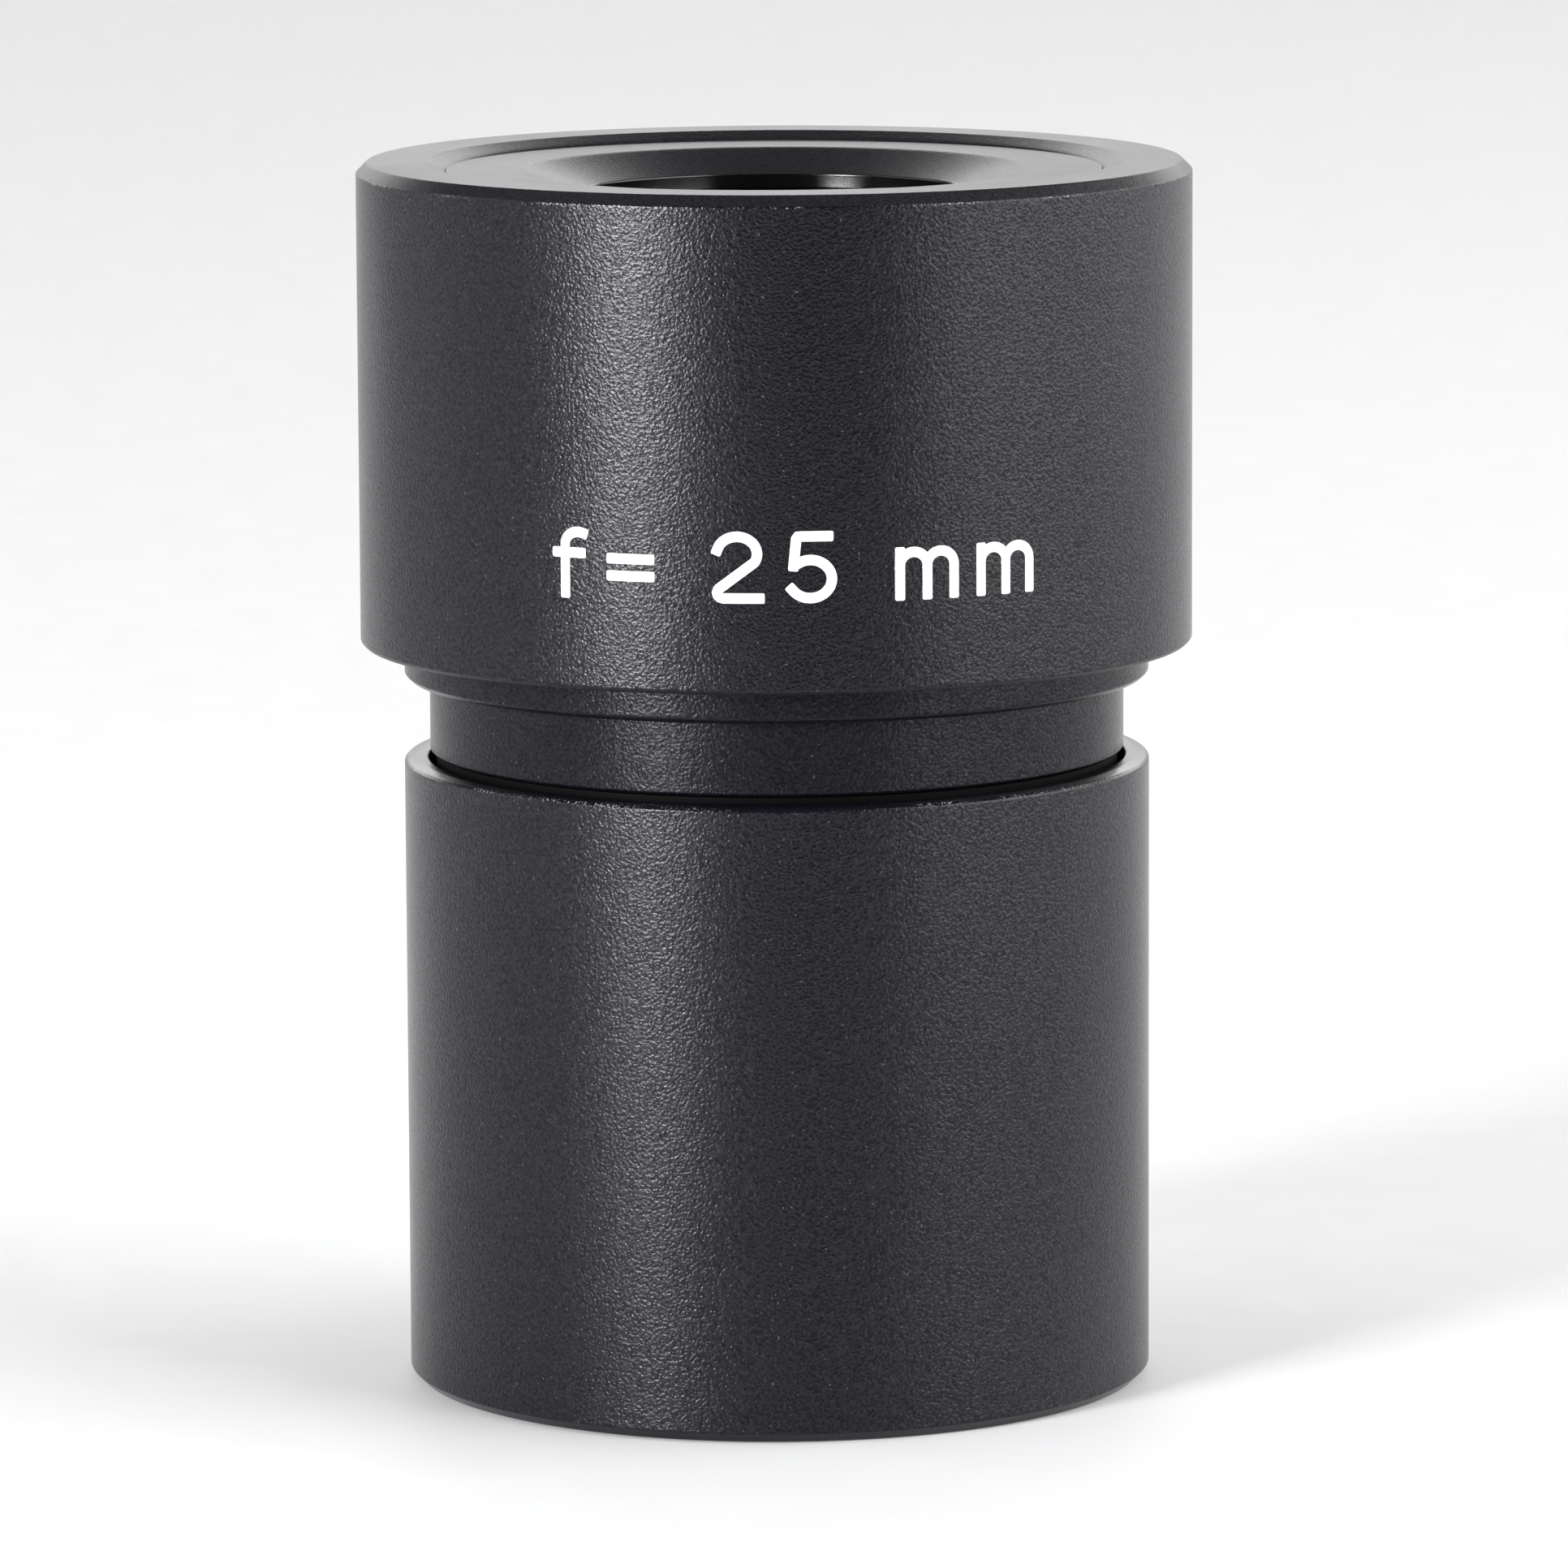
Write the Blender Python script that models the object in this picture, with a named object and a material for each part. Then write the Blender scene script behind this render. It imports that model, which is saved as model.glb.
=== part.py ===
"""Wide-field focusing eyepiece with a 30.5 mm barrel, as an assembly of turned pieces and lenses.

The optical axis is +Z, the barrel's foot stands on z = 0 and the eye looks in from above. All
sizes below are in millimetres; MM turns them into metres when a mesh is made. The barrel stays
still. The head screws up and down in it on a four-start thread, so that it turns and lifts at
once. The damping ring only slides: it rides up and down with the head and does not turn.
"""

import math

import bmesh
import bpy

MM = 0.001

# Every turned piece has the same number of facets, so that neighbours keep an even gap.
FACETS = 40
MERGE = 0.000001
FIXED_GAP = 0.05

# Outside shape.
BARREL_R = 15.25
BARREL_TOP = 25.66
FOOT_CHAMFER = 0.38
BARREL_TOP_CHAMFER = 0.12
TOP_BEVEL_R = 14.7
TOP_BEVEL_DROP = 0.06
RING_R = 15.22
RING_TOP = 30.35
RING_BOTTOM = 28.95
RING_CHAMFER = 0.2
WAIST_R = 14.2
WAIST_BOTTOM = 25.9
WAIST_CHAMFER = 0.1
HEAD_R = 17.0
HEAD_TOP = 50.0
HEAD_TOP_CHAMFER = 0.44
HEAD_FOOT_CHAMFER = 0.16

# Recess and dish in the top of the head.
RECESS_R = 14.28
RECESS_FOOT_R = 13.3
FLOOR_Z = 49.63
DISH_R = 10.4
EYE_HOLE_R = 8.0
EYE_HOLE_TOP = 48.7

# Focusing thread: four starts, so that half a turn lifts the head by 3 mm.
STARTS = 4
PITCH = 1.5
LEAD = STARTS * PITCH
TRAVEL = 3.0
END_PLAY = 0.2
TOOTH_DEPTH = 0.5
TOOTH_CREST = 0.45
TOOTH_FLANK = 0.25
TOOTH_FADE = 0.8
MALE_ROOT_R = 13.1
FEMALE_ROOT_R = 13.75
FEMALE_BOTTOM = 13.7
FEMALE_TOP = 20.7
MALE_BOTTOM = 10.6
LAND_R = 13.95
LAND_BOTTOM = 24.05

# Barrel bore, from its mouth at the foot to the mouth that takes the waist.
FOOT_BORE_R = 14.2
FOOT_BORE_CHAMFER = 0.1
STOP_SEAT_Z = 5.45
MOUTH_BORE_R = 14.27
MOUTH_CHAMFER = 0.05

# Field stop, its tube and the ring that holds the tube.
STOP_TUBE_R = 11.35
STOP_TUBE_BORE_R = 10.6
STOP_TUBE_TOP = 14.0
STOP_FLANGE_BOTTOM = 4.0
STOP_APERTURE_R = 10.0
STOP_DISC_R = 10.95
STOP_DISC_THICK = 0.5
RETAINER_BOTTOM = 2.2
RETAINER_BORE_R = 12.2

# Threaded sleeve and its end stop.
SLEEVE_BORE_R = 11.65
SLEEVE_BOTTOM = 8.7
SLEEVE_END_R = 12.2
SLEEVE_STEM_R = 13.0
SLEEVE_TOP = 28.35
STOP_RING_R = 13.55
STOP_RING_TOP = FEMALE_BOTTOM - TRAVEL - END_PLAY
DAMPER_R = 13.22
DAMPER_WIRE_R = 0.4
DAMPER_Z = 9.6

# Neck ring and lens cell.
NECK_TUBE_R = 15.5
NECK_BORE_R = 13.4
NECK_SEAT_Z = 28.4
NECK_TOP = 46.7
CELL_R = 13.3
CELL_NECK_R = 12.4
CELL_SHOULDER_Z = 44.0
CELL_BOTTOM = 28.65
CELL_TOP = 48.05
CELL_LIP_R = 9.6
CELL_LIP_Z = 47.35
LOCK_RING_TOP = 45.6
SHIM_BORE_R = 12.0

# Lenses: two cemented doublets whose crowns face each other, 25 mm focal length together.
EYE_LENS_R = 10.5
FIELD_LENS_R = 12.0
EYE_VERTEX = 47.9
OUTER_CURVE_R = 60.0
CEMENTED_CURVE_R = 22.0
INNER_CURVE_R = 26.0
CEMENT_GAP = 0.04
FLINT_THICK = 1.6
EYE_CROWN_THICK = 6.5
FIELD_CROWN_THICK = 7.5
LENS_AIR_GAP = 0.6
LENS_CURVE_STEPS = 5

# Eye cap.
CAP_FLANGE_R = 15.4
CAP_FLANGE_BOTTOM = 46.75
CAP_FLANGE_TOP = 48.1
CAP_RECESS_R = 12.6

# Spanner slots in the threaded rings.
SLOT_WIDTH = 1.2
SLOT_DEPTH = 0.7
SLOT_OVERRUN = 2.0


def clear_scene():
    for obj in list(bpy.data.objects):
        bpy.data.objects.remove(obj, do_unlink=True)


def make_material(name, colour, roughness, metallic, transmission=0.0):
    material = bpy.data.materials.new(name)
    material.use_nodes = True
    shader = material.node_tree.nodes["Principled BSDF"]
    shader.inputs["Base Color"].default_value = (*colour, 1.0)
    shader.inputs["Roughness"].default_value = roughness
    shader.inputs["Metallic"].default_value = metallic
    shader.inputs["Transmission Weight"].default_value = transmission
    return material


def make_pivot(name, parent=None):
    """Empty on the optical axis that carries the pieces which move together."""
    pivot = bpy.data.objects.new(name, None)
    pivot.empty_display_size = HEAD_R * MM
    pivot.parent = parent
    bpy.context.scene.collection.objects.link(pivot)
    return pivot


def finish_piece(name, bm, material, parent):
    """Make one named, smooth-shaded object from a mesh under construction."""
    bmesh.ops.remove_doubles(bm, verts=bm.verts, dist=MERGE)
    bmesh.ops.recalc_face_normals(bm, faces=bm.faces)
    mesh = bpy.data.meshes.new(name)
    bm.to_mesh(mesh)
    bm.free()
    mesh.shade_smooth()
    mesh.set_sharp_from_angle(angle=math.radians(30))
    mesh.materials.append(material)
    piece = bpy.data.objects.new(name, mesh)
    piece.parent = parent
    bpy.context.scene.collection.objects.link(piece)
    return piece


def on_axis_circle(bm, radius, z):
    """One ring of vertices round the optical axis, or a single vertex on it."""
    if radius == 0.0:
        return [bm.verts.new((0.0, 0.0, z * MM))] * FACETS
    step = 2.0 * math.pi / FACETS
    return [
        bm.verts.new((radius * MM * math.cos(i * step), radius * MM * math.sin(i * step), z * MM))
        for i in range(FACETS)
    ]


def skin_rings(bm, rings):
    """Join each ring of vertices to the next; a single vertex closes as a fan."""
    for low, high in zip(rings, rings[1:]):
        for i in range(FACETS):
            j = (i + 1) % FACETS
            corners = [low[i], low[j], high[j], high[i]]
            distinct = list(dict.fromkeys(corners))
            if len(distinct) > 2:
                bm.faces.new(distinct)


def turned(name, profile, material, parent=None):
    """Turn a profile of (radius, z) points about the axis.

    The profile runs up the outside and down the inside. It closes on itself, unless its first
    and last points lie on the axis.
    """
    bm = bmesh.new()
    rings = [on_axis_circle(bm, radius, z) for radius, z in profile]
    if profile[0][0] > 0.0:
        rings.append(rings[0])
    skin_rings(bm, rings)
    return finish_piece(name, bm, material, parent)


def add_thread(bm, root_r, bottom, top, direction):
    """Four-start thread on a cylinder, from bottom to top.

    Rows of vertices follow the helix, so that the teeth keep their exact section all round.
    Rows past an end close up on the end's circle. direction is +1 for teeth that stand
    outwards and -1 for teeth that stand inwards, which lie half a pitch further up.
    """
    phase = 0.0 if direction > 0 else PITCH / 2.0
    half = TOOTH_CREST / 2.0
    corners = (
        (-half - TOOTH_FLANK, 0.0),
        (-half, 1.0),
        (half, 1.0),
        (half + TOOTH_FLANK, 0.0),
    )
    first = math.floor((bottom - phase - LEAD) / PITCH) - 1
    last = math.ceil((top - phase) / PITCH) + 1
    rows = []
    for k in range(first, last + 1):
        rows += [(k * PITCH + phase + offset, height) for offset, height in corners]

    def column(i):
        angle = 2.0 * math.pi * i / FACETS
        verts = []
        for start_z, height in rows:
            z = min(max(start_z + LEAD * i / FACETS, bottom), top)
            fade = min(1.0, (z - bottom) / TOOTH_FADE, (top - z) / TOOTH_FADE)
            radius = root_r + direction * TOOTH_DEPTH * height * fade
            verts.append(bm.verts.new((radius * MM * math.cos(angle), radius * MM * math.sin(angle), z * MM)))
        return verts

    columns = [column(i) for i in range(FACETS + 1)]
    for left, right in zip(columns, columns[1:]):
        for k in range(len(rows) - 1):
            bm.faces.new((left[k], right[k], right[k + 1], left[k + 1]))


def threaded(name, profile, root_r, bottom, top, direction, material, parent=None):
    """Turned piece whose profile is left open along a threaded stretch.

    The open profile starts at one end of the thread and finishes at its other end.
    """
    bm = bmesh.new()
    skin_rings(bm, [on_axis_circle(bm, radius, z) for radius, z in profile])
    add_thread(bm, root_r, bottom, top, direction)
    return finish_piece(name, bm, material, parent)


def cut_spanner_slots(piece, outer_r, inner_r, face_z):
    """Cut two opposite radial slots, right across the ring, into its end face at face_z."""
    reach = outer_r - inner_r + SLOT_OVERRUN
    for side in (-1, 1):
        bpy.ops.mesh.primitive_cube_add(size=1.0)
        cutter = bpy.context.active_object
        cutter.name = f"{piece.name}_slot_cutter"
        cutter.dimensions = (reach * MM, SLOT_WIDTH * MM, 2.0 * SLOT_DEPTH * MM)
        cutter.location = (side * (outer_r + inner_r) / 2.0 * MM, 0.0, face_z * MM)
        cutter.hide_render = True
        cutter.display_type = "WIRE"
        cut = piece.modifiers.new("spanner_slot", "BOOLEAN")
        cut.operation = "DIFFERENCE"
        cut.solver = "EXACT"
        cut.object = cutter


def sag(curve_r, radius):
    return curve_r - math.sqrt(curve_r**2 - radius**2)


def curved_face(curve_r, vertex_z, rim_r, bulge):
    """Points of a spherical lens face from its rim to its vertex; bulge is +1 if it rises there."""
    radii = [rim_r * (1.0 - k / LENS_CURVE_STEPS) for k in range(LENS_CURVE_STEPS + 1)]
    return [(radius, vertex_z - bulge * sag(curve_r, radius)) for radius in radii]


def lens(name, rim_r, top, bottom, material, parent):
    """Lens between two spherical faces, each given as (curve radius, vertex z, bulge)."""
    upper = curved_face(*top[:2], rim_r, top[2])
    lower = curved_face(*bottom[:2], rim_r, bottom[2])
    return turned(name, list(reversed(lower)) + upper, material, parent)


def build_barrel(painted, anodised):
    shoulder_z = BARREL_TOP - TOP_BEVEL_DROP
    profile = [
        (FEMALE_ROOT_R, FEMALE_BOTTOM),
        (FEMALE_ROOT_R, STOP_SEAT_Z),
        (FOOT_BORE_R, STOP_SEAT_Z),
        (FOOT_BORE_R, FOOT_BORE_CHAMFER),
        (FOOT_BORE_R + FOOT_BORE_CHAMFER, 0.0),
        (BARREL_R - FOOT_CHAMFER, 0.0),
        (BARREL_R, FOOT_CHAMFER),
        (BARREL_R, shoulder_z - BARREL_TOP_CHAMFER),
        (BARREL_R - BARREL_TOP_CHAMFER, shoulder_z),
        (TOP_BEVEL_R, BARREL_TOP),
        (MOUTH_BORE_R + MOUTH_CHAMFER, BARREL_TOP),
        (MOUTH_BORE_R, BARREL_TOP - MOUTH_CHAMFER),
        (MOUTH_BORE_R, FEMALE_TOP),
        (FEMALE_ROOT_R, FEMALE_TOP),
    ]
    threaded("lower_barrel", profile, FEMALE_ROOT_R, FEMALE_BOTTOM, FEMALE_TOP, -1, painted)

    flange_r = FOOT_BORE_R - FIXED_GAP
    flange_top = STOP_SEAT_Z - FIXED_GAP
    seat_z = STOP_TUBE_TOP - STOP_DISC_THICK - FIXED_GAP
    turned(
        "field_stop_tube",
        [
            (flange_r, STOP_FLANGE_BOTTOM),
            (flange_r, flange_top),
            (STOP_TUBE_R, flange_top),
            (STOP_TUBE_R, STOP_TUBE_TOP),
            (STOP_DISC_R + FIXED_GAP, STOP_TUBE_TOP),
            (STOP_DISC_R + FIXED_GAP, seat_z),
            (STOP_TUBE_BORE_R, seat_z),
            (STOP_TUBE_BORE_R, STOP_FLANGE_BOTTOM),
        ],
        anodised,
    )
    turned(
        "field_stop",
        [
            (STOP_DISC_R, seat_z + FIXED_GAP),
            (STOP_DISC_R, STOP_TUBE_TOP),
            (STOP_APERTURE_R, STOP_TUBE_TOP),
            (STOP_APERTURE_R + STOP_DISC_THICK / 2.0, seat_z + FIXED_GAP),
        ],
        anodised,
    )
    retainer_top = STOP_FLANGE_BOTTOM - FIXED_GAP
    retainer = turned(
        "field_stop_retainer",
        [
            (flange_r, RETAINER_BOTTOM),
            (flange_r, retainer_top),
            (RETAINER_BORE_R, retainer_top),
            (RETAINER_BORE_R, RETAINER_BOTTOM),
        ],
        anodised,
    )
    cut_spanner_slots(retainer, flange_r, RETAINER_BORE_R, RETAINER_BOTTOM)


def build_damping_ring(rubber, lift):
    steps = 8
    section = []
    for k in range(steps):
        angle = 2.0 * math.pi * k / steps
        radius = DAMPER_R + DAMPER_WIRE_R * math.cos(angle)
        section.append((radius, DAMPER_Z + DAMPER_WIRE_R * math.sin(angle)))
    turned("damping_ring", section, rubber, lift)


def build_focus_sleeve(anodised, head):
    land_top = WAIST_BOTTOM - FIXED_GAP
    profile = [
        (MALE_ROOT_R, LAND_BOTTOM),
        (LAND_R, LAND_BOTTOM),
        (LAND_R, land_top),
        (SLEEVE_STEM_R, land_top),
        (SLEEVE_STEM_R, SLEEVE_TOP),
        (SLEEVE_BORE_R, SLEEVE_TOP),
        (SLEEVE_BORE_R, SLEEVE_BOTTOM),
        (SLEEVE_END_R, SLEEVE_BOTTOM),
        (SLEEVE_END_R, MALE_BOTTOM),
        (MALE_ROOT_R, MALE_BOTTOM),
    ]
    threaded("focus_sleeve", profile, MALE_ROOT_R, MALE_BOTTOM, LAND_BOTTOM, 1, anodised, head)

    bore_r = SLEEVE_END_R + FIXED_GAP
    groove_half = DAMPER_WIRE_R + FIXED_GAP
    groove_r = DAMPER_R - DAMPER_WIRE_R - FIXED_GAP
    turned(
        "travel_stop_ring",
        [
            (STOP_RING_R, SLEEVE_BOTTOM),
            (STOP_RING_R, DAMPER_Z - groove_half),
            (groove_r, DAMPER_Z - groove_half),
            (groove_r, DAMPER_Z + groove_half),
            (STOP_RING_R, DAMPER_Z + groove_half),
            (STOP_RING_R, STOP_RING_TOP),
            (bore_r, STOP_RING_TOP),
            (bore_r, SLEEVE_BOTTOM),
        ],
        anodised,
        head,
    )


def build_neck_ring(painted, head):
    stem_bore_r = SLEEVE_STEM_R + FIXED_GAP
    turned(
        "neck_ring",
        [
            (WAIST_R - WAIST_CHAMFER, WAIST_BOTTOM),
            (WAIST_R, WAIST_BOTTOM + WAIST_CHAMFER),
            (WAIST_R, RING_BOTTOM),
            (RING_R - RING_CHAMFER, RING_BOTTOM),
            (RING_R, RING_BOTTOM + RING_CHAMFER),
            (RING_R, RING_TOP),
            (NECK_TUBE_R, RING_TOP),
            (NECK_TUBE_R, NECK_TOP),
            (NECK_BORE_R, NECK_TOP),
            (NECK_BORE_R, NECK_SEAT_Z),
            (stem_bore_r, NECK_SEAT_Z),
            (stem_bore_r, WAIST_BOTTOM),
        ],
        painted,
        head,
    )


def build_head_shell(painted, head):
    lip_bottom = CAP_FLANGE_TOP + FIXED_GAP
    bore_r = NECK_TUBE_R + FIXED_GAP
    middle_r = (RECESS_R + RECESS_FOOT_R) / 2.0
    middle_z = (HEAD_TOP + FLOOR_Z) / 2.0
    turned(
        "head_shell",
        [
            (HEAD_R - HEAD_FOOT_CHAMFER, RING_TOP),
            (HEAD_R, RING_TOP + HEAD_FOOT_CHAMFER),
            (HEAD_R, HEAD_TOP - HEAD_TOP_CHAMFER),
            (HEAD_R - HEAD_TOP_CHAMFER, HEAD_TOP),
            (RECESS_R, HEAD_TOP),
            (middle_r, middle_z),
            (RECESS_FOOT_R, FLOOR_Z),
            (RECESS_FOOT_R, lip_bottom),
            (bore_r, lip_bottom),
            (bore_r, RING_TOP),
        ],
        painted,
        head,
    )


def build_eye_cap(painted, head):
    cap_r = RECESS_FOOT_R - FIXED_GAP
    turned(
        "eye_cap",
        [
            (CAP_FLANGE_R, CAP_FLANGE_BOTTOM),
            (CAP_FLANGE_R, CAP_FLANGE_TOP),
            (cap_r, CAP_FLANGE_TOP),
            (cap_r, FLOOR_Z),
            (DISH_R, FLOOR_Z),
            (EYE_HOLE_R, EYE_HOLE_TOP),
            (EYE_HOLE_R, CELL_TOP + FIXED_GAP),
            (CAP_RECESS_R, CELL_TOP + FIXED_GAP),
            (CAP_RECESS_R, CAP_FLANGE_BOTTOM),
        ],
        painted,
        head,
    )


def build_lens_stack(anodised, brass, nylon, crown_glass, flint_glass, head):
    flint_bottom = EYE_VERTEX - FLINT_THICK
    crown_top = flint_bottom - CEMENT_GAP
    crown_bottom = crown_top - EYE_CROWN_THICK
    eye_rim_bottom = crown_bottom + sag(INNER_CURVE_R, EYE_LENS_R)
    lens(
        "eye_lens_flint",
        EYE_LENS_R,
        (OUTER_CURVE_R, EYE_VERTEX, 1),
        (CEMENTED_CURVE_R, flint_bottom, 1),
        flint_glass,
        head,
    )
    lens(
        "eye_lens_crown",
        EYE_LENS_R,
        (CEMENTED_CURVE_R, crown_top, 1),
        (INNER_CURVE_R, crown_bottom, -1),
        crown_glass,
        head,
    )

    field_top = crown_bottom - LENS_AIR_GAP
    field_cement = field_top - FIELD_CROWN_THICK
    field_bottom = field_cement - CEMENT_GAP - FLINT_THICK
    field_rim_bottom = field_bottom + sag(OUTER_CURVE_R, FIELD_LENS_R)
    lens(
        "field_lens_crown",
        FIELD_LENS_R,
        (INNER_CURVE_R, field_top, 1),
        (CEMENTED_CURVE_R, field_cement, -1),
        crown_glass,
        head,
    )
    lens(
        "field_lens_flint",
        FIELD_LENS_R,
        (CEMENTED_CURVE_R, field_cement - CEMENT_GAP, -1),
        (OUTER_CURVE_R, field_bottom, -1),
        flint_glass,
        head,
    )

    eye_bore_r = EYE_LENS_R + FIXED_GAP
    field_bore_r = FIELD_LENS_R + FIXED_GAP
    step_z = eye_rim_bottom - 1.2
    turned(
        "lens_cell",
        [
            (CELL_R, CELL_BOTTOM),
            (CELL_R, CELL_SHOULDER_Z),
            (CELL_NECK_R, CELL_SHOULDER_Z),
            (CELL_NECK_R, CELL_TOP),
            (CELL_LIP_R, CELL_TOP),
            (CELL_LIP_R, CELL_LIP_Z),
            (eye_bore_r, CELL_LIP_Z),
            (eye_bore_r, step_z),
            (field_bore_r, step_z),
            (field_bore_r, CELL_BOTTOM),
        ],
        anodised,
        head,
    )
    eye_rim_top = EYE_VERTEX - sag(OUTER_CURVE_R, EYE_LENS_R)
    seat_bore_z = EYE_VERTEX - sag(OUTER_CURVE_R, CELL_LIP_R) + FIXED_GAP
    turned(
        "eye_lens_seat_ring",
        [
            (EYE_LENS_R, eye_rim_top + FIXED_GAP),
            (EYE_LENS_R, CELL_LIP_Z - FIXED_GAP),
            (CELL_LIP_R, CELL_LIP_Z - FIXED_GAP),
            (CELL_LIP_R, seat_bore_z),
        ],
        nylon,
        head,
    )
    spacer_r = EYE_LENS_R
    spacer_bore_r = EYE_LENS_R - 0.9
    turned(
        "lens_spacer",
        [
            (spacer_r, field_top - sag(INNER_CURVE_R, spacer_r) + FIXED_GAP),
            (spacer_r, eye_rim_bottom - FIXED_GAP),
            (spacer_bore_r, crown_bottom + sag(INNER_CURVE_R, spacer_bore_r) - FIXED_GAP),
            (spacer_bore_r, field_top - sag(INNER_CURVE_R, spacer_bore_r) + FIXED_GAP),
        ],
        anodised,
        head,
    )
    ring_bore_r = FIELD_LENS_R - 1.0
    ring_bottom = CELL_BOTTOM + 0.6
    retaining_ring = turned(
        "lens_retaining_ring",
        [
            (FIELD_LENS_R, ring_bottom),
            (FIELD_LENS_R, field_rim_bottom - FIXED_GAP),
            (ring_bore_r, field_bottom + sag(OUTER_CURVE_R, ring_bore_r) - FIXED_GAP),
            (ring_bore_r, ring_bottom),
        ],
        brass,
        head,
    )
    cut_spanner_slots(retaining_ring, FIELD_LENS_R, ring_bore_r, ring_bottom)

    lock_ring = turned(
        "cell_lock_ring",
        [
            (CELL_R, CELL_SHOULDER_Z + FIXED_GAP),
            (CELL_R, LOCK_RING_TOP),
            (CELL_NECK_R + FIXED_GAP, LOCK_RING_TOP),
            (CELL_NECK_R + FIXED_GAP, CELL_SHOULDER_Z + FIXED_GAP),
        ],
        brass,
        head,
    )
    cut_spanner_slots(lock_ring, CELL_R, CELL_NECK_R, LOCK_RING_TOP)
    turned(
        "parfocal_shim",
        [
            (CELL_R, NECK_SEAT_Z + FIXED_GAP),
            (CELL_R, CELL_BOTTOM - FIXED_GAP),
            (SHIM_BORE_R, CELL_BOTTOM - FIXED_GAP),
            (SHIM_BORE_R, NECK_SEAT_Z + FIXED_GAP),
        ],
        brass,
        head,
    )


def main():
    clear_scene()
    painted = make_material("painted_aluminium", (0.03, 0.03, 0.033), 0.45, 0.0)
    anodised = make_material("black_anodised", (0.012, 0.012, 0.013), 0.35, 0.6)
    brass = make_material("blackened_brass", (0.10, 0.075, 0.035), 0.4, 0.9)
    nylon = make_material("black_nylon", (0.02, 0.02, 0.02), 0.6, 0.0)
    rubber = make_material("damping_rubber", (0.015, 0.015, 0.015), 0.7, 0.0)
    crown_glass = make_material("crown_glass", (0.92, 0.97, 0.94), 0.02, 0.0, 1.0)
    flint_glass = make_material("flint_glass", (0.90, 0.93, 0.98), 0.02, 0.0, 1.0)

    lift = make_pivot("focus_lift_pivot")
    head = make_pivot("focus_turn_pivot", lift)

    build_barrel(painted, anodised)
    build_damping_ring(rubber, lift)
    build_focus_sleeve(anodised, head)
    build_neck_ring(painted, head)
    build_head_shell(painted, head)
    build_eye_cap(painted, head)
    build_lens_stack(anodised, brass, nylon, crown_glass, flint_glass, head)


main()
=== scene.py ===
"""Looks of a focusing eyepiece: finely turned skins, coated lenses, a white marking and a studio.

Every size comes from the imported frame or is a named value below, in metres. The optical axis is
the world Z axis, and the marking faces -Y, towards the camera.
"""

import math

import bmesh
import bpy
from mathutils import Matrix, Vector


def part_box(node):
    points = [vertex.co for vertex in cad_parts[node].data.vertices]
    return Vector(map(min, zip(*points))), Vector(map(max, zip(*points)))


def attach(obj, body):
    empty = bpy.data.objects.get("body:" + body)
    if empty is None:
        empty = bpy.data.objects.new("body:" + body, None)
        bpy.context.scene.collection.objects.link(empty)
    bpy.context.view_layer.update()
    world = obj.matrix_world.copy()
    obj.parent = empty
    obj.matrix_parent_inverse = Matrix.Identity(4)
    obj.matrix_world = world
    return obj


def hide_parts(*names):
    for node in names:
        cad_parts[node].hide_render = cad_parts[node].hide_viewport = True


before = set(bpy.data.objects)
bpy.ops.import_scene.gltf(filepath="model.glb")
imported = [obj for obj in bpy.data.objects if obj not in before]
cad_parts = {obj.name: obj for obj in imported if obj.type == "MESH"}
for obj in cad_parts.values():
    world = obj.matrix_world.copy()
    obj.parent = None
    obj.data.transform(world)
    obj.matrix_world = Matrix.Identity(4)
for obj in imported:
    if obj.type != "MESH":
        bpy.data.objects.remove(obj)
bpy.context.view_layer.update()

MM = 0.001
TOUCH = 1e-7
MERGE = 1e-6

# Turned skins. The eye cap's edge is grown a little, so that no gap shows between it and the recess.
SEGMENTS = 256
CAP_OVERLAP = 0.09 * MM
EDGE_RADIUS = 0.05 * MM
EDGE_STEPS = 4
CORNER_TURN = math.radians(6)
SHARP_ANGLE = math.radians(40)
RECESS_DEPTH_MAX = 0.4 * MM
RECESS_SOFTNESS = 0.22 * MM
DISH_SOFTNESS = 0.18 * MM
CAP_EDGE_SOFTNESS = 0.01 * MM
BORE_WALL = 0.53 * MM
LAND_SKIN = 0.1 * MM
LENS_STEPS = 24
LENS_BEVEL = 0.12 * MM

# Paint, worn in specks just below the head's rim and the barrel's top.
GRAIN = 0.028 * MM
NECK_GRAIN = 0.024 * MM
SMOOTH_GRAIN = 0.006 * MM
TOP_GRAIN = 0.012 * MM
CHARCOAL = ((0.0030, 0.0030, 0.0048), (0.0050, 0.0050, 0.0075))
PAINT_TINT = (0.97, 0.96, 1.0)
# Light specks in the paint: painted glints that stand in for the sparkle of its grain.
PAINTED_GLINT_COLOUR = (0.10, 0.10, 0.105)
BARE_METAL = (0.30, 0.29, 0.28)
HEAD_WEAR_DROP = 0.46 * MM
BARREL_WEAR_DROP = 0.12 * MM

# Focusing thread, as the CAD solids have it.
THREAD_STARTS = 4
THREAD_PITCH = 1.5 * MM
THREAD_LEAD = THREAD_STARTS * THREAD_PITCH
THREAD_DEPTH = 0.5 * MM
THREAD_CREST = 0.45 * MM
THREAD_FLANK = 0.25 * MM
THREAD_FADE = 0.8 * MM
THREAD_ROUND = 0.05 * MM
MALE_THREAD = {"root": 13.1 * MM, "bottom": 10.6 * MM, "top": 24.05 * MM, "side": 1}
FEMALE_THREAD = {"root": 13.75 * MM, "bottom": 13.7 * MM, "top": 20.7 * MM, "side": -1}

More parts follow.
